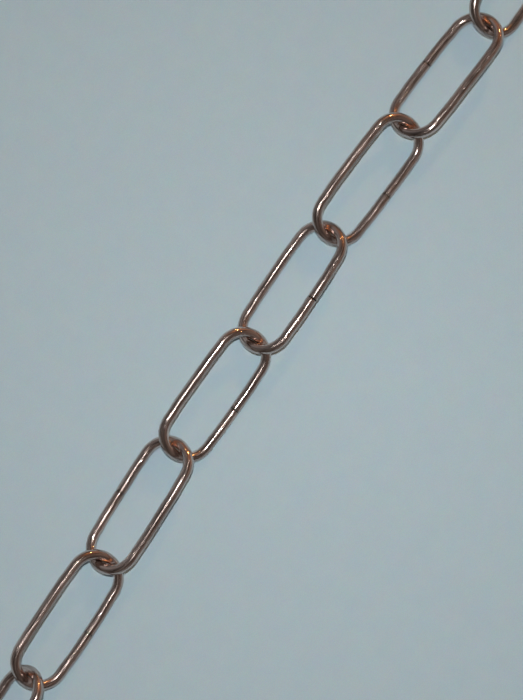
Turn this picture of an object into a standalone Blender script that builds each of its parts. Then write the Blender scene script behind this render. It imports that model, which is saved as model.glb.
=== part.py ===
"""A half-metre length of long-link chain, bent from round steel wire and laid out on a floor.

Every link is one cut piece of wire, bent round until its two flat ends meet in a butt seam half
way along a leg. The links lean left and right by turns: each rests on one leg and holds the
other leg up, so that its bows hook into those of its neighbours. One link stands steeper than
the rest and lifts the ends of its neighbours.

A link's far bow is the one at its +X end, and its near bow is the one at its -X end. Each link
swings about the far bow of the link before it, which its own near bow is hooked through.

Lengths are in metres. The chain runs along +X, +Z is up and the floor is at Z = 0.
"""

import math

import bmesh
import bpy
import numpy as np
from mathutils import Matrix, Vector

# Wire and link
WIRE_DIAMETER = 0.0030
INNER_LENGTH = 0.0400
INNER_WIDTH = 0.0130
SEAM_GAP = 0.00020

# How the links lie
BOW_GAP = 0.00040
LEAN = math.radians(28.0)
STEEP_LEAN = math.radians(46.0)
STEEP_LINK = 3
NEIGHBOUR_TIP = math.radians(2.6)

# One row for each link: its heading in degrees, how far its near bow has slipped to the left
# along the bow that it hooks into, how much slack that hook has, and the leg that its seam is in
LAY = (
    (-1.0, 0.0, 0.0, "left"),
    (1.5, 0.0002, 0.0, "right"),
    (4.5, 0.0, 0.0, "left"),
    (1.7, 0.0, 0.0, "right"),
    (2.7, 0.0006, 0.0, "left"),
    (-0.5, -0.0004, 0.0004, "right"),
    (1.1, -0.0006, 0.0, "right"),
    (-1.8, 0.0001, 0.0, "right"),
    (-2.7, 0.0004, 0.0, "left"),
    (1.4, -0.0002, 0.0, "right"),
    (-0.5, 0.0003, 0.0002, "left"),
    (0.8, -0.0002, 0.0, "right"),
)

# How finely the round wire is cut into flats, and the sharpest fold that is still shaded smooth
WIRE_SIDES = 12
BOW_STEPS = 16
SMOOTH_UP_TO = math.radians(40.0)

# Worked out from the above
BOW_RADIUS = (INNER_WIDTH + WIRE_DIAMETER) / 2
LEG_HALF = (INNER_LENGTH + WIRE_DIAMETER) / 2 - BOW_RADIUS
LINK_REACH = LEG_HALF + BOW_RADIUS
SIDE_ANGLE = 2 * math.pi / WIRE_SIDES
# The corners stand a little proud of the wire, so that its cross-section keeps its area
CORNER_RADIUS = WIRE_DIAMETER / 2 * math.sqrt(SIDE_ANGLE / math.sin(SIDE_ANGLE))

# How finely a bow is sampled, and a hook is closed up, when the links are laid
BOW_SAMPLES = 121
CLOSING_STEPS = 16

STEEL_COLOUR = (0.56, 0.53, 0.50, 1.0)
STEEL_ROUGHNESS = 0.18


def clear_scene():
    """Remove what a new file starts with."""
    for thing in list(bpy.data.objects):
        bpy.data.objects.remove(thing, do_unlink=True)


def steel():
    """Bright drawn steel wire."""
    material = bpy.data.materials.new("bright_steel_wire")
    material.use_nodes = True
    shader = material.node_tree.nodes["Principled BSDF"]
    shader.inputs["Base Color"].default_value = STEEL_COLOUR
    shader.inputs["Metallic"].default_value = 1.0
    shader.inputs["Roughness"].default_value = STEEL_ROUGHNESS
    return material


def end_section(mesh):
    """Draw the cut end of the wire at the seam, with one flat turned to face the floor."""
    down = LEAN - math.pi / 2
    first_corner = down + SIDE_ANGLE / 2
    corners = []
    for side in range(WIRE_SIDES):
        angle = first_corner + side * SIDE_ANGLE
        outward = CORNER_RADIUS * math.cos(angle)
        upward = CORNER_RADIUS * math.sin(angle)
        corners.append(mesh.verts.new((SEAM_GAP / 2, BOW_RADIUS + outward, upward)))
    return [mesh.edges.new((corners[side - 1], corners[side])) for side in range(WIRE_SIDES)]


def draw_leg(mesh, ring, distance):
    """Draw the wire on in a straight line along X, and return its new end."""
    grown = bmesh.ops.extrude_edge_only(mesh, edges=ring)["geom"]
    corners = {item for item in grown if isinstance(item, bmesh.types.BMVert)}
    bmesh.ops.translate(mesh, verts=list(corners), vec=(distance, 0.0, 0.0))
    edges = [item for item in grown if isinstance(item, bmesh.types.BMEdge)]
    return [edge for edge in edges if set(edge.verts) <= corners]


def bend_bow(mesh, ring, centre_x):
    """Bend the wire through half a turn about the bow's centre, and return its new end."""
    corners = list({corner for edge in ring for corner in edge.verts})
    spun = bmesh.ops.spin(
        mesh,
        geom=corners + ring,
        cent=(centre_x, 0.0, 0.0),
        axis=(0.0, 0.0, -1.0),
        angle=math.pi,
        steps=BOW_STEPS,
        use_merge=False,
        use_duplicate=False,
    )
    return [item for item in spun["geom_last"] if isinstance(item, bmesh.types.BMEdge)]


def link_mesh(material):
    """One link lying flat, its long way along X, with the seam in its +Y leg."""
    mesh = bmesh.new()
    first_end = end_section(mesh)
    half_leg = LEG_HALF - SEAM_GAP / 2
    ring = draw_leg(mesh, first_end, half_leg)
    ring = bend_bow(mesh, ring, LEG_HALF)
    ring = draw_leg(mesh, ring, -2 * LEG_HALF)
    ring = bend_bow(mesh, ring, -LEG_HALF)
    last_end = draw_leg(mesh, ring, half_leg)
    bmesh.ops.contextual_create(mesh, geom=first_end)
    bmesh.ops.contextual_create(mesh, geom=last_end)
    bmesh.ops.recalc_face_normals(mesh, faces=mesh.faces)
    data = bpy.data.meshes.new("chain_link")
    mesh.to_mesh(data)
    mesh.free()
    data.materials.append(material)
    data.shade_smooth()
    data.set_sharp_from_angle(angle=SMOOTH_UP_TO)
    return data


def lean_side(number):
    """+1 where a link holds its left leg up, -1 where it holds its right leg up."""
    return 1 if number % 2 == 0 else -1


def link_turn(number):
    """How a link is turned: its heading, the tip of its far end and its lean."""
    lean = STEEP_LEAN if number == STEEP_LINK else LEAN
    tip = {STEEP_LINK - 1: NEIGHBOUR_TIP, STEEP_LINK + 1: -NEIGHBOUR_TIP}.get(number, 0.0)
    heading = Matrix.Rotation(math.radians(LAY[number - 1][0]), 4, "Z")
    leaning = Matrix.Rotation(lean_side(number) * lean, 4, "X")
    return heading @ Matrix.Rotation(-tip, 4, "Y") @ leaning


def bow_centreline(place, end):
    """Points along the middle of the wire in a link's far bow (end = 1) or near bow (end = -1)."""
    points = []
    for angle in np.linspace(-math.pi / 2, math.pi / 2, BOW_SAMPLES):
        along = end * (LEG_HALF + BOW_RADIUS * math.cos(angle))
        points.append(place @ Vector((along, BOW_RADIUS * math.sin(angle), 0.0)))
    return np.array(points)


def hook_spacing(far_place, near_place):
    """How close a link's far bow and the next link's near bow come, between wire centres."""
    far_line = bow_centreline(far_place, 1)
    near_line = bow_centreline(near_place, -1)
    return float(np.linalg.norm(far_line[:, None] - near_line[None], axis=2).min())


def hooked_place(last_place, turn, height, slip, overlap):
    """Where a link lies when its near bow reaches a given distance past the last far bow."""
    reach = Vector((LINK_REACH, 0.0, 0.0))
    along = (last_place.to_3x3() @ reach + turn.to_3x3() @ reach).normalized()
    centre = last_place @ reach - overlap * along + turn.to_3x3() @ reach
    return Matrix.Translation((centre.x, centre.y + slip, height)) @ turn


def lay_links(data):
    """Where each link lies, as matrices. Each is let down to the floor, and drawn along until
    its near bow closes on the last link's far bow."""
    places = []
    for number, (_, slip, slack, _) in enumerate(LAY, start=1):
        turn = link_turn(number)
        height = -min((turn @ corner.co).z for corner in data.vertices)
        if not places:
            places.append(Matrix.Translation((0.0, 0.0, height)) @ turn)
            continue
        wanted = WIRE_DIAMETER + BOW_GAP
        shortest, longest = WIRE_DIAMETER / 2, 2 * WIRE_DIAMETER
        for _ in range(CLOSING_STEPS):
            overlap = (shortest + longest) / 2
            place = hooked_place(places[-1], turn, height, slip, overlap)
            if hook_spacing(places[-1], place) < wanted:
                shortest = overlap
            else:
                longest = overlap
        places.append(hooked_place(places[-1], turn, height, slip, longest + slack))
    return places


def centred(places, data):
    """The same places, moved along the floor so that the chain's box is centred on the origin."""
    points = [place @ corner.co for place in places for corner in data.vertices]
    middle_x = (min(point.x for point in points) + max(point.x for point in points)) / 2
    middle_y = (min(point.y for point in points) + max(point.y for point in points)) / 2
    shift = Matrix.Translation((-middle_x, -middle_y, 0.0))
    return [shift @ place for place in places]


def swing_pivot(far_place, near_place):
    """A pivot in a link's far bow, half way round from that bow's own apex to where the next
    link's near bow has its apex. The next link swings about the pivot's own Y axis, which lies
    along the wire there."""
    near_apex = far_place.inverted() @ near_place @ Vector((-LINK_REACH, 0.0, 0.0))
    angle = math.atan2(near_apex.y, near_apex.x - LEG_HALF) / 2
    bow = Matrix.Translation((LEG_HALF, 0.0, 0.0)) @ Matrix.Rotation(angle, 4, "Z")
    return far_place @ bow @ Matrix.Translation((BOW_RADIUS, 0.0, 0.0))


def put(thing, place, parent, parent_place):
    """Place an object in the world, under its parent."""
    bpy.context.scene.collection.objects.link(thing)
    thing.parent = parent
    thing.matrix_basis = parent_place.inverted() @ place


def build_chain():
    """Make every link, each under a pivot at the bow that it hooks over."""
    data = link_mesh(steel())
    places = centred(lay_links(data), data)
    last_link, last_place = None, None
    parent, parent_place = None, Matrix.Identity(4)
    for number, place in enumerate(places, start=1):
        if last_link:
            parent_place = swing_pivot(places[number - 2], place)
            parent = bpy.data.objects.new(f"swing_{number:02d}", None)
            parent.empty_display_size = BOW_RADIUS
            put(parent, parent_place, last_link, last_place)
        seam_leg = LAY[number - 1][3]
        half_turn = Matrix.Rotation(math.pi if seam_leg == "right" else 0.0, 4, "Z")
        last_link = bpy.data.objects.new(f"link_{number:02d}", data)
        last_place = place @ half_turn
        put(last_link, last_place, parent, parent_place)


clear_scene()
build_chain()
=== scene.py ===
"""A half-metre of bright long-link wire chain on a pale sheet, seen from nearly straight above.

Each link of the frame is replaced by a smooth one: 3 mm wire with a butt seam, the marks of the
tools that bent it, the slight waviness of drawn wire, and bows that have worn on each other. The
seam's gap is painted dark as shade, and the inside of each bow is painted light as a highlight.

Lengths are in metres, and the power of a light is in watts. A link is drawn lying flat, with X
along it towards the next link, and with its seam in the middle of the leg on the +Y side. Its far
bow is the one at +X and its near bow is the one at -X. A distance along the wire starts at the
seam and runs round the far bow first. An angle round the wire is 0 on the outside of the link and
half a turn on its inside.
"""

import math
import random

import bpy
import numpy as np
from mathutils import Matrix, Vector


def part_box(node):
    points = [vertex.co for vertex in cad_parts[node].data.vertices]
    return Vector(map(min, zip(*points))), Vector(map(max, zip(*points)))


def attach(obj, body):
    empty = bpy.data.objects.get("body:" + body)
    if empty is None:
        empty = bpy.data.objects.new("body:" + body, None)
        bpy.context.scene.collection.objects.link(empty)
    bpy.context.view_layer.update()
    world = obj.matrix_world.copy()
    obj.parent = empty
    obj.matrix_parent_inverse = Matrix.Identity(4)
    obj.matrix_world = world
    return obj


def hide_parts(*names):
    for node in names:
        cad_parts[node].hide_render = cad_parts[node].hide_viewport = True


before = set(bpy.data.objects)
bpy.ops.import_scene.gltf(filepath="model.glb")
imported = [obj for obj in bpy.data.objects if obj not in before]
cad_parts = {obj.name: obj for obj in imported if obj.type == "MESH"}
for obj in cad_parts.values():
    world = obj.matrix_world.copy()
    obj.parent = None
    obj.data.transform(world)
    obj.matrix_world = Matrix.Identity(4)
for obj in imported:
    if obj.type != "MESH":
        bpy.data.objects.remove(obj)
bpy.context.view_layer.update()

# The wire and the inside of a link
WIRE_DIAMETER = 0.0030
INNER_LENGTH = 0.0400
INNER_WIDTH = 0.0130

# The frame leaves 0.28 mm of play or more where two bows hook. Here the wire is a little thicker
# all round, and each hook is closed up until its bows all but touch. The far bow moves by
# FAR_SHARE of that, and the near bow that is hooked through it by the rest.
EXTRA_RADIUS = 0.00005
HOOK_PLAY = 0.00006
FAR_SHARE = 0.25

# Worked out from the above: the wire's radius, a bow's radius and half a leg, each to the middle
# of the wire, then the length of wire in a bow and in a link, and how far along it each bend is
WIRE_RADIUS = WIRE_DIAMETER / 2 + EXTRA_RADIUS
BOW_RADIUS = (INNER_WIDTH + WIRE_DIAMETER) / 2
LEG_HALF = (INNER_LENGTH + WIRE_DIAMETER) / 2 - BOW_RADIUS
BOW_LENGTH = math.pi * BOW_RADIUS
WIRE_LENGTH = 4 * LEG_HALF + 2 * BOW_LENGTH
BENDS = (
    LEG_HALF,
    LEG_HALF + BOW_LENGTH,
    3 * LEG_HALF + BOW_LENGTH,
    3 * LEG_HALF + 2 * BOW_LENGTH,
)

# The seam: the least and the most that its cut ends stand back from it, how they are eased and
# burred, how far they have slipped past each other, and how far its painted shade reaches from them
END_SETBACK = (0.00002, 0.00003)
EASED_DEPTH = 0.00022
EASED_REACH = 0.00009
BURR_HEIGHT = 0.00006
BURR_SETBACK = 0.00022
BURR_LENGTH = 0.00008
BURR_SHARPNESS = 2.0
SLIP = 0.00005
SLIP_REACH = 0.003
SEAM_REACH = 0.00020

# The waviness of drawn wire
WAVES = 30
WAVE_LENGTHS = (0.0011, 0.005)
WAVE_HEIGHT = 0.000004
WAVE_LOBES = (0, 1, 1, 2, 2, 3)

# The dents that a bending tool leaves beside each bend, and the sides of the wire that they are on
DENTS = 3
DENT_SCATTER = 0.003
DENT_SIDES = (0.0, math.pi / 2, math.pi / 2, -math.pi / 2)
DENT_SIDE_SCATTER = 0.5
DENT_LENGTHS = (0.0003, 0.0007)
DENT_WIDTHS = (0.0003, 0.0008)
DENT_DEPTHS = (0.00002, 0.00006)

# How far a leg may bulge sideways and up, how far the wire cuts the corner at a bend, and how far
# wear, and the painted highlight inside a bow, reach round a bow from its middle
BULGE_ASIDE = 0.00008
BULGE_UP = 0.00012
CORNER_CUTS = (0.00015, 0.00035)
CORNER_REACH = 0.004
WORN_REACH = 0.0075

# How finely a link is drawn: corners round its wire, rings along it, the closer rings at each cut
# end, the sharpest fold that is shaded smooth, and points along a bow when a hook is closed up
SIDES = 48
RINGS = 520
RINGS_SETBACK = 0.0005
END_STEPS = (0.0, 0.00003, 0.00006, 0.00010, 0.00015, 0.00022, 0.0003)
SMOOTH_UP_TO = math.radians(50)
BOW_SAMPLES = 161

# How the unrolled wire lies on the texture square, whose side is 1: strips side by side, and the
# two cut ends above them
STRIPS = 4
STRIP_MARGIN = 0.06
STRIP_FILL = 0.88
STRIP_FOOT = 0.01
STRIP_HEIGHT = 0.92
CAP_RADIUS = 0.022
CAP_CENTRES = ((0.05, 0.97), (0.15, 0.97))

# The steel's two shades, how strongly it is darker and lighter in bands, the painted shade that
# makes the seam's gap near-black, and the painted highlight that lightens the inside of the bows
STEEL_SHADES = ((0.575, 0.465, 0.425, 1.0), (0.535, 0.435, 0.40, 1.0))
BAND_SHADES = (0.72, 1.20)
# Painted shade: the seam's gap is darkened to this share of the steel's colour
PAINTED_SEAM_SHADE = 0.04
# Painted highlight: the inside of each bow, where bows hook, is lightened by this much
PAINTED_HIGHLIGHT = 1.40

# Its roughness from line to line, and what is left of it where the steel is worn
LINE_ROUGHNESS = (0.12, 0.44)
WORN_ROUGHNESS = 0.45

# The noise on the wire. Each kind has the width of its features across the wire, their length
# along it, its detail and its seed. Each link is given its own stretch of it.
LINES = (0.00008, 0.009, 2.0, 3.0)
RIPPLE = (0.0018, 0.005, 4.0, 11.0)
PATCHES = (0.004, 0.012, 2.0, 23.0)
SCORES = (0.00012, 0.015, 1.0, 37.0)
BANDS = (0.0005, 0.020, 1.0, 53.0)
PITS = (0.0004, 0.0006, 1.0, 71.0)
NOISE_ROUGHNESS = 0.55
SEED_STRIDE = (1.0, 2.3, 1.0)
LINK_STRETCH = 0.3

# The part of each noise's range over which it goes from nothing to full strength
LINE_RANGE = (0.48, 0.66)
PATCH_RANGE = (0.35, 0.65)
SCORE_RANGE = (0.60, 0.66)
BAND_RANGE = (0.38, 0.62)

# How high the fine relief stands
RIPPLE_HEIGHT = 0.000010
LINE_HEIGHT = 0.000008
SCORE_HEIGHT = 0.000010
PIT_HEIGHT = 0.000007

# The sheet, and its speckle: how strongly it shows at all and in red, green and blue, the scale,
# detail and roughness of its grain and its clouds, and the share of the clouds
SHEET_HALF = 8.0
SHEET_COLOUR = (0.537, 0.715, 0.813, 1.0)
SHEET_ROUGHNESS = 0.9
SHEET_SPECULAR = 0.1
SPECKLE_SHARE = 0.15
SPECKLE_COLOURS = (1.0, 0.65, 0.85)
GRAIN = (3200.0, 1.0, 0.6)
CLOUDS = (160.0, 3.0, 0.7)
CLOUD_SHARE = 0.35

# The key light stands a few degrees from the camera, so its shadows are short, and it doesn't
# show in the steel. The glint beside it shows only there, as the bright line along the wire.
KEY_DIRECTION = (-0.029, -0.016, 1.0)
KEY_AIM = (0.01, -0.03, 0.0)
KEY_SPREAD = math.radians(120)
GLINT_DIRECTION = (0.042, 0.030, 1.0)
KEY_DISTANCE = 0.65
KEY_SIZE = (0.025, 0.02)
KEY_POWER = 0.87
GLINT_POWER = 1.6
KEY_COLOUR = (1.0, 0.995, 0.98)

# A small warm lamp a way off, and a long pale wall low down on the right
LAMP_DIRECTION = (0.80, 0.20, 0.50)
LAMP_DISTANCE = 1.5
LAMP_SIZE = (0.05, 0.05)
LAMP_POWER = 2.4
LAMP_COLOUR = (1.0, 0.50, 0.16)
WALL_DIRECTION = (0.0, -1.0, 0.08)
WALL_DISTANCE = 1.8
WALL_SIZE = (3.0, 0.15)
WALL_POWER = 0.3
WALL_COLOUR = (1.0, 0.98, 0.95)

# The dim room that the steel reflects, as seen from the chain looking along +X. A reach says where
# a look starts to show and where it shows in full, by how much of a unit vector points left,
# ahead, up or to the lamp.
ROOM_RIGHT = (0.135, 0.106, 0.092, 1.0)
ROOM_LEFT = (0.135, 0.132, 0.133, 1.0)
LEFT_REACH = (-0.6, 0.8)
ROOM_AHEAD = (0.171, 0.120, 0.091, 1.0)
AHEAD_REACH = (0.1, 0.8)
ROOM_BEHIND = (0.108, 0.098, 0.089, 1.0)
BEHIND_REACH = (-0.1, -0.8)
OVERHEAD_SHADES = (1.0, 0.70)
OVERHEAD_REACH = (0.45, 0.95)
ROOM_AT_LAMP = (0.42, 0.20, 0.12, 1.0)
LAMP_REACH = (0.86, 1.0)

# Its clutter, as noise: the scale, detail and roughness, and how dark and light it makes the room
CLUTTER = (1.7, 2.0, 0.5)
CLUTTER_RANGE = (0.36, 0.64)
CLUTTER_SHADES = (0.35, 1.65)

# The photograph's camera. Its sensor, in millimetres, spans the longer side of the picture.
IMAGE_SIZE = (523, 700)
FOCAL_PIXELS = 2100.0
SENSOR_MM = 36.0
CAMERA_NEAR = 0.01
CAMERA_DISTANCE = 0.62767
CAMERA_TILT = math.radians(-6.016)
CAMERA_LEAN = math.radians(-0.262)
CAMERA_TURN = math.radians(55.141)
CAMERA_ASIDE = (-0.002334, 0.002091)


def add_object(name, data):
    """Add an object to the scene."""
    thing = bpy.data.objects.new(name, data)
    bpy.context.scene.collection.objects.link(thing)
    return thing


def mesh_object(name, points, faces):
    """Add a mesh to the scene as an object."""
    mesh = bpy.data.meshes.new(name)
    mesh.from_pydata(points, [], faces)
    return add_object(name, mesh)


class Nodes:
    """A short way to add shader nodes to a tree and join them up."""

    def __init__(self, tree):
        self.tree = tree

    def add(self, kind, settings=None, **inputs):
        """Add a node and give it its settings and inputs."""
        node = self.tree.nodes.new("ShaderNode" + kind)
        for name, value in (settings or {}).items():
            setattr(node, name, value)
        for name, value in inputs.items():
            self.put(node, name.replace("_", " "), value)
        return node

    def put(self, node, socket, value):
        """Give one input its value, or join it to an output. An input named i0 is the first."""
        by_number = socket[:1] == "i" and socket[1:].isdigit()
        place = node.inputs[int(socket[1:]) if by_number else socket]
        if isinstance(value, bpy.types.NodeSocket):
            self.tree.links.new(value, place)
        else:
            place.default_value = value

    def attribute(self, name, output):
        """A value that is kept on the mesh."""
        settings = {"attribute_name": name, "attribute_type": "GEOMETRY"}
        return self.add("Attribute", settings).outputs[output]

    def noise(self, place, scale, detail, roughness, output="Fac"):
        """Smooth noise."""
        node = self.add("TexNoise", Vector=place, Scale=scale, Detail=detail, Roughness=roughness)
        return node.outputs[output]

    def spread(self, value, low, high, to_low=0.0, to_high=1.0, shape="LINEAR"):
        """A value that goes from to_low to to_high as another goes from low to high."""
        node = self.add("MapRange", {"interpolation_type": shape}, Value=value, From_Min=low,
                        From_Max=high, To_Min=to_low, To_Max=to_high)
        return node.outputs[0]

    def blend(self, share, first, second):
        """Two colours mixed, with this share of the second."""
        return self.add("Mix", {"data_type": "RGBA"}, i0=share, i6=first, i7=second).outputs[2]

    def times(self, first, second):
        """Two values multiplied."""
        return self.add("Math", {"operation": "MULTIPLY"}, i0=first, i1=second).outputs[0]

    def shaded(self, colour, shade):
        """A colour made darker or lighter."""
        return self.add("VectorMath", {"operation": "SCALE"}, i0=colour, Scale=shade).outputs[0]


def new_material(name):
    """A new material, its nodes and its shader."""
    made = bpy.data.materials.new(name)
    made.use_nodes = True
    return made, Nodes(made.node_tree), made.node_tree.nodes["Principled BSDF"]


def link_place(node):
    """Where a link of the frame lies, as a matrix. Its X runs towards the next link, and its Y
    towards the leg with the seam."""
    points = np.array([corner.co for corner in node.data.vertices])
    along, across = np.linalg.svd(points - points.mean(0), full_matrices=False)[2][:2]
    along = along * np.sign(along[0])
    axes = np.array([along, across, np.cross(along, across)])
    flat = points @ axes.T
    centre = (flat.min(0) + flat.max(0)) / 2
    off_centre = flat - centre
    beside_middle = np.abs(off_centre[:, 0]) < LEG_HALF / 2
    across = across * np.sign(off_centre[beside_middle, 1].mean())
    turned = np.array([along, across, np.cross(along, across)])
    place = Matrix(turned.T.tolist()).to_4x4()
    place.translation = Vector(axes.T @ centre)
    return place


def carried(points, place):
    """The same points, carried by a matrix."""
    return points @ np.array(place.to_3x3()).T + np.array(place.translation)


def wire_line(distance):
    """The middle of the wire at each distance along it, and which way is out of the link."""
    to_far_bow, past_far_bow, to_near_bow, past_near_bow = BENDS
    points, outward = [], []
    for s in distance:
        if s <= to_far_bow:
            point, out = (s, BOW_RADIUS), (0.0, 1.0)
        elif s <= past_far_bow:
            turn = (s - to_far_bow) / BOW_RADIUS
            out = (math.sin(turn), math.cos(turn))
            point = (LEG_HALF + BOW_RADIUS * out[0], BOW_RADIUS * out[1])
        elif s <= to_near_bow:
            point, out = (LEG_HALF + past_far_bow - s, -BOW_RADIUS), (0.0, -1.0)
        elif s <= past_near_bow:
            turn = (s - to_near_bow) / BOW_RADIUS
            out = (-math.sin(turn), -math.cos(turn))
            point = (-LEG_HALF + BOW_RADIUS * out[0], BOW_RADIUS * out[1])
        else:
            point, out = (s - WIRE_LENGTH, BOW_RADIUS), (0.0, 1.0)
        points.append((*point, 0.0))
        outward.append((*out, 0.0))
    return np.array(points), np.array(outward)


def bow_line(place, end):
    """Points along the middle of the wire in a link's far bow (end = 1) or near bow (end = -1)."""
    middle = WIRE_LENGTH / 2 - end * WIRE_LENGTH / 4
    distance = middle + np.linspace(-BOW_LENGTH / 2, BOW_LENGTH / 2, BOW_SAMPLES)
    return carried(wire_line(distance)[0], place)


def hook_closing(place, next_place):
    """How far a link's far bow and the next link's near bow are to be closed up, together."""
    apart = bow_line(place, 1)[:, None] - bow_line(next_place, -1)[None]
    return np.linalg.norm(apart, axis=2).min() - 2 * WIRE_RADIUS - HOOK_PLAY


def half_turned(angle):
    """The same angle, between half a turn back and half a turn on."""
    return (angle + math.pi) % (2 * math.pi) - math.pi


def waves(distance, angle, rng):
    """Smooth random waves over the wire, long and short, that close up round it."""
    shortest, longest = WAVE_LENGTHS
    total = 0.0
    for _ in range(WAVES):
        length = shortest * (longest / shortest) ** rng.random()
        lobes = rng.choice(WAVE_LOBES)
        phase = rng.random() * 2 * math.pi
        total += np.cos(2 * math.pi * distance / length + lobes * angle + phase) * length
    return total * WAVE_HEIGHT / (WAVES / 2) ** 0.5 / longest


def dent(distance, angle, bend, rng):
    """A shallow smooth dent somewhere beside a bend."""
    off_along = distance - (bend + rng.uniform(-DENT_SCATTER, DENT_SCATTER))
    side = rng.choice(DENT_SIDES) + rng.uniform(-DENT_SIDE_SCATTER, DENT_SIDE_SCATTER)
    off_round = half_turned(angle - side) * WIRE_RADIUS
    length, width, depth = (rng.uniform(*each) for each in (DENT_LENGTHS, DENT_WIDTHS, DENT_DEPTHS))
    return depth * np.exp(-(off_along / length) ** 2 - (off_round / width) ** 2)


def wire_radius(distance, angle, setback, rng):
    """How thick the wire is: wavy, dented beside the bends, and eased and burred where it is cut."""
    radius = WIRE_RADIUS + waves(distance, angle, rng)
    for bend in BENDS:
        for _ in range(DENTS):
            radius -= dent(distance, angle, bend, rng)
    for end in (setback, WIRE_LENGTH - setback):
        off = np.abs(distance - end)
        radius -= EASED_DEPTH * np.exp(-off / EASED_REACH)
        round_burr = half_turned(angle - rng.uniform(0, 2 * math.pi))
        burr = BURR_HEIGHT * np.exp(-BURR_SHARPNESS * round_burr ** 2)
        radius += burr * np.exp(-((off - BURR_SETBACK) / BURR_LENGTH) ** 2)
    return radius


def bent_line(distance, far_in, near_in, rng):
    """The middle of the wire as it was really bent: its legs bulge a little, it cuts the corners
    at the bends, its ends have slipped past each other, and its bows are drawn in."""
    line, outward = wire_line(distance)
    slip = np.array([0.0, rng.uniform(-1, 1), rng.uniform(-1, 1)]) * SLIP
    on_leg = np.cos(np.clip(line[:, 0] / LEG_HALF, -1, 1) * math.pi / 2) ** 2
    for leg in (-1, 1):
        here = on_leg * (line[:, 1] * leg > 0)
        line[:, 1] += here * rng.uniform(-BULGE_ASIDE, BULGE_ASIDE)
        line[:, 2] += here * rng.uniform(-BULGE_UP, BULGE_UP)
    for bend in BENDS:
        cut = rng.uniform(*CORNER_CUTS) * np.exp(-((distance - bend) / CORNER_REACH) ** 2)
        line -= outward * cut[:, None]
    drawn_in = np.where(line[:, 0] > 0, far_in, near_in)
    line[:, 0] -= drawn_in * line[:, 0] / (LEG_HALF + BOW_RADIUS)
    slipped = np.exp(-distance / SLIP_REACH) - np.exp(-(WIRE_LENGTH - distance) / SLIP_REACH)
    return line + slip * slipped[:, None], outward


def ring_distances(setback):
    """How far along the wire its rings are. They are closest together at the cut ends."""
    first, last = setback + RINGS_SETBACK, WIRE_LENGTH - setback - RINGS_SETBACK
    steps = np.array(END_STEPS)
    ends = setback + steps, WIRE_LENGTH - setback - steps[::-1]
    return np.concatenate([ends[0], np.linspace(first, last, RINGS), ends[1]])


def wire_faces(rings):
    """The faces from ring to ring, and one over each cut end."""
    faces = []
    for ring in range(rings - 1):
        first = ring * SIDES
        for side in range(SIDES):
            after = (side + 1) % SIDES
            faces.append((first + side, first + after, first + SIDES + after, first + SIDES + side))
    faces.append(tuple(reversed(range(SIDES))))
    faces.append(tuple(range((rings - 1) * SIDES, rings * SIDES)))
    return faces


def note_wire(mesh, number, distance, angle, setback):
    """Keep on the mesh what the steel goes by: where on the straight wire a point is and how worn it
    is, and how strongly the painted shade of the seam and the painted highlight inside a bow
    show there, from 0 to 1."""
    shape = (len(distance), SIDES)
    straight = np.empty((*shape, 3))
    straight[..., 0] = np.cos(angle) * WIRE_RADIUS
    straight[..., 1] = np.sin(angle) * WIRE_RADIUS
    straight[..., 2] = distance + number * LINK_STRETCH
    layer = mesh.attributes.new("wire", "FLOAT_VECTOR", "POINT")
    layer.data.foreach_set("vector", straight.astype(np.float32).ravel())
    # Painted shade: near-black where the seam's gap is
    off_seam = np.minimum(distance, WIRE_LENGTH - distance) - setback
    seam = np.exp(-(off_seam / SEAM_REACH) ** 4)
    off_bow = np.minimum(np.abs(distance - WIRE_LENGTH / 4), np.abs(distance - 3 * WIRE_LENGTH / 4))
    worn = np.exp(-(off_bow / WORN_REACH) ** 2)
    # Painted highlight: on the inside of each worn bow, where the hooked bows light each other
    inward = (0.5 - 0.5 * np.cos(angle)) ** 2
    for name, value in (("seam", seam), ("worn", worn), ("painted_highlight", worn * inward)):
        layer = mesh.attributes.new(name, "FLOAT", "POINT")
        layer.data.foreach_set("value", np.broadcast_to(value, shape).astype(np.float32).ravel())


def unwrap(mesh, rings):
    """Unroll the wire onto the texture square, each stretch of it as a strip of its own."""
    ring = np.arange(rings - 1)
    side = np.arange(SIDES)
    strip = ring * STRIPS // (rings - 1)
    per_strip = (rings - 1) / STRIPS
    height = (ring - strip * per_strip) / per_strip
    left = (strip[:, None] + STRIP_MARGIN + STRIP_FILL * side[None] / SIDES) / STRIPS
    right = left + STRIP_FILL / SIDES / STRIPS
    low = np.broadcast_to((STRIP_FOOT + STRIP_HEIGHT * height)[:, None], left.shape)
    high = low + STRIP_HEIGHT / per_strip
    quads = np.stack([left, low, right, low, right, high, left, high], -1).reshape(-1, 2)
    turn = side * 2 * math.pi / SIDES
    disc = CAP_RADIUS * np.stack([np.cos(turn), np.sin(turn)], -1)
    caps = [disc[::-1] + CAP_CENTRES[0], disc + CAP_CENTRES[1]]
    layer = mesh.uv_layers.new(name="OFBake")
    layer.data.foreach_set("uv", np.concatenate([quads, *caps]).astype(np.float32).ravel())


def link_object(name, number, place, far_in, near_in):
    """One link as a closed mesh. Its number is the seed for what is random about it."""
    rng = random.Random(number)
    setback = rng.uniform(*END_SETBACK)
    along = ring_distances(setback)
    distance = along[:, None]
    angle = (np.arange(SIDES) * 2 * math.pi / SIDES)[None, :]
    radius = wire_radius(distance, angle, setback, rng)
    line, outward = bent_line(along, far_in, near_in, rng)
    around = np.cos(angle)[..., None] * outward[:, None] + np.sin(angle)[..., None] * (0, 0, 1)
    points = (line[:, None] + radius[..., None] * around).reshape(-1, 3)
    thing = mesh_object(name, carried(points, place).tolist(), wire_faces(len(along)))
    thing.data.shade_smooth()
    thing.data.set_sharp_from_angle(angle=SMOOTH_UP_TO)
    note_wire(thing.data, number, distance, angle, setback)
    unwrap(thing.data, len(along))
    return thing


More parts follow.
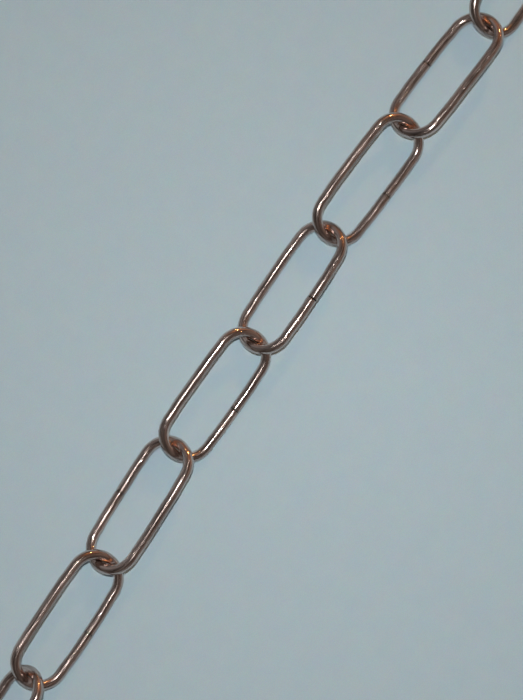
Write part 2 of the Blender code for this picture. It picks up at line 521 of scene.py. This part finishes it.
def wire_material():
    """Drawn steel, with fine lines and scratches along the wire. The seam is painted dark as
    shade, and the inside of each bow painted light as a highlight.
    """
    made, nodes, shader = new_material("drawn_steel")
    wire = nodes.attribute("wire", "Vector")

    def wire_noise(across, along, detail, seed):
        scale = (1 / across, 1 / across, 1 / along)
        start = tuple(seed * stride for stride in SEED_STRIDE)
        place = nodes.add("Mapping", Vector=wire, Scale=scale, Location=start)
        return nodes.noise(place.outputs[0], 1.0, detail, NOISE_ROUGHNESS)

    lines = wire_noise(*LINES)
    shader.inputs["Metallic"].default_value = 1.0
    polish = nodes.spread(nodes.attribute("worn", "Fac"), 0.0, 1.0, 1.0, WORN_ROUGHNESS)
    roughness = nodes.times(nodes.spread(lines, *LINE_RANGE, *LINE_ROUGHNESS), polish)
    nodes.put(shader, "Roughness", roughness)

    steel_colour = nodes.blend(nodes.spread(wire_noise(*PATCHES), *PATCH_RANGE), *STEEL_SHADES)
    bands = nodes.spread(wire_noise(*BANDS), *BAND_RANGE, *BAND_SHADES)
    # Painted shade darkens the seam's gap
    painted_seam_shade = nodes.spread(nodes.attribute("seam", "Fac"), 0.0, 1.0, 1.0, PAINTED_SEAM_SHADE)
    # A painted highlight lightens the inside of each bow
    painted_highlight_factor = nodes.spread(nodes.attribute("painted_highlight", "Fac"), 0.0, 1.0, 1.0, PAINTED_HIGHLIGHT)
    shade = nodes.times(nodes.times(bands, painted_seam_shade), painted_highlight_factor)
    nodes.put(shader, "Base Color", nodes.shaded(steel_colour, shade))

    scores = nodes.spread(wire_noise(*SCORES), *SCORE_RANGE, 1.0, 0.0)
    relief = nodes.add("Bump", Height=wire_noise(*RIPPLE), Strength=1.0, Distance=RIPPLE_HEIGHT)
    for height, distance in (
        (lines, LINE_HEIGHT),
        (scores, SCORE_HEIGHT),
        (wire_noise(*PITS), PIT_HEIGHT),
    ):
        relief = nodes.add("Bump", Height=height, Strength=1.0, Distance=distance,
                           Normal=relief.outputs[0])
    nodes.put(shader, "Normal", relief.outputs[0])
    return made


def sheet_material():
    """A matt pale blue sheet with a faint coloured speckle."""
    made, nodes, shader = new_material("pale_sheet")
    where = nodes.add("NewGeometry").outputs["Position"]
    grain = nodes.noise(where, *GRAIN, "Color")
    clouds = nodes.noise(where, *CLOUDS, "Color")
    speckle = nodes.blend(CLOUD_SHARE, grain, clouds)
    towards_grey = tuple((1 - share) / 2 for share in SPECKLE_COLOURS)
    calmer = nodes.add("VectorMath", {"operation": "MULTIPLY_ADD"}, i0=speckle,
                       i1=SPECKLE_COLOURS, i2=towards_grey).outputs[0]
    speckled = nodes.add("Mix", {"data_type": "RGBA", "blend_type": "LINEAR_LIGHT"},
                         i0=SPECKLE_SHARE, i6=SHEET_COLOUR, i7=calmer)
    nodes.put(shader, "Base Color", speckled.outputs[2])
    shader.inputs["Roughness"].default_value = SHEET_ROUGHNESS
    shader.inputs["Specular IOR Level"].default_value = SHEET_SPECULAR
    return made


def sheet_object():
    """The sheet that the chain lies on."""
    corners = [(x * SHEET_HALF, y * SHEET_HALF, 0.0) for x, y in ((-1, -1), (1, -1), (1, 1), (-1, 1))]
    thing = mesh_object("sheet", corners, [(0, 1, 2, 3)])
    thing.data.materials.append(sheet_material())
    return thing


def add_camera(target):
    """The photograph's camera."""
    data = bpy.data.cameras.new("camera")
    data.sensor_width = SENSOR_MM
    data.lens = FOCAL_PIXELS / max(IMAGE_SIZE) * SENSOR_MM
    data.clip_start = CAMERA_NEAR
    camera = add_object("camera", data)
    to_camera = (Matrix.Rotation(CAMERA_TILT, 3, "X") @ Matrix.Rotation(CAMERA_LEAN, 3, "Y")
                 @ Matrix.Rotation(CAMERA_TURN, 3, "Z"))
    turned = to_camera.transposed()
    place = turned.to_4x4()
    place.translation = target + turned @ Vector((-CAMERA_ASIDE[0], -CAMERA_ASIDE[1], CAMERA_DISTANCE))
    camera.matrix_world = place
    bpy.context.scene.camera = camera


def area_light(name, target, direction, distance, size, power, colour, aim=(0.0, 0.0, 0.0)):
    """A light in a direction from the target. It faces the target, or a point beside it."""
    data = bpy.data.lights.new(name, "AREA")
    data.shape = "RECTANGLE"
    data.size, data.size_y = size
    data.energy = power
    data.color = colour
    thing = add_object(name, data)
    away = Vector(direction).normalized() * distance
    back = (away - Vector(aim)).normalized()
    up = back.cross(Vector((1.0, 0.0, 0.0))).normalized()
    across = up.cross(back)
    place = Matrix((across, up, back)).transposed().to_4x4()
    place.translation = target + away
    thing.matrix_world = place
    thing.visible_camera = False
    return thing


def add_lights(target):
    """The key light and its glint, the warm lamp and the pale wall."""
    key = area_light("key", target, KEY_DIRECTION, KEY_DISTANCE, KEY_SIZE, KEY_POWER, KEY_COLOUR,
                     aim=KEY_AIM)
    key.data.spread = KEY_SPREAD
    key.visible_glossy = False
    glint = area_light("glint", target, GLINT_DIRECTION, KEY_DISTANCE, KEY_SIZE, GLINT_POWER,
                       KEY_COLOUR)
    glint.visible_diffuse = False
    area_light("warm_lamp", target, LAMP_DIRECTION, LAMP_DISTANCE, LAMP_SIZE, LAMP_POWER, LAMP_COLOUR)
    area_light("pale_wall", target, WALL_DIRECTION, WALL_DISTANCE, WALL_SIZE, WALL_POWER, WALL_COLOUR)


def add_room():
    """The dim room round the chain, with its clutter and the glow of the lamp."""
    world = bpy.data.worlds.new("room")
    world.use_nodes = True
    nodes = Nodes(world.node_tree)
    direction = nodes.add("TexCoord").outputs["Generated"]
    ahead, left, up = nodes.add("SeparateXYZ", Vector=direction).outputs
    leftness = nodes.spread(left, *LEFT_REACH, shape="SMOOTHSTEP")
    colour = nodes.blend(leftness, ROOM_RIGHT, ROOM_LEFT)
    colour = nodes.blend(nodes.spread(ahead, *AHEAD_REACH), colour, ROOM_AHEAD)
    colour = nodes.blend(nodes.spread(ahead, *BEHIND_REACH), colour, ROOM_BEHIND)
    colour = nodes.shaded(colour, nodes.spread(up, *OVERHEAD_REACH, *OVERHEAD_SHADES))
    clutter = nodes.noise(direction, *CLUTTER)
    colour = nodes.shaded(colour, nodes.spread(clutter, *CLUTTER_RANGE, *CLUTTER_SHADES))
    to_lamp = Vector(LAMP_DIRECTION).normalized()
    towards_lamp = nodes.add("VectorMath", {"operation": "DOT_PRODUCT"}, i0=direction, i1=to_lamp)
    glow = nodes.spread(towards_lamp.outputs["Value"], *LAMP_REACH, shape="SMOOTHSTEP")
    colour = nodes.blend(glow, colour, ROOM_AT_LAMP)
    nodes.put(world.node_tree.nodes["Background"], "Color", colour)
    bpy.context.scene.world = world


def box_middle(name):
    """The middle of a node's box."""
    low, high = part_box(name)
    return (low + high) / 2


links = sorted(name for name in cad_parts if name.startswith("link_"))
places = [link_place(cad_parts[name]) for name in links]
closings = [0.0] + [hook_closing(*pair) for pair in zip(places, places[1:])] + [0.0]
steel = wire_material()
for number, name in enumerate(links, start=1):
    piece = link_object(f"wire_{name}", number, places[number - 1], FAR_SHARE * closings[number],
                        (1 - FAR_SHARE) * closings[number - 1])
    piece.data.materials.append(steel)
    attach(piece, name)
    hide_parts(name)

sheet = sheet_object()

# The camera and the lights are set out from the floor under the middle of the run in the photo
photo_middle = (box_middle("link_06") + box_middle("link_07")) / 2
photo_middle.z = 0.0
add_camera(photo_middle)
add_lights(photo_middle)
add_room()
bpy.context.scene.view_settings.view_transform = "Standard"
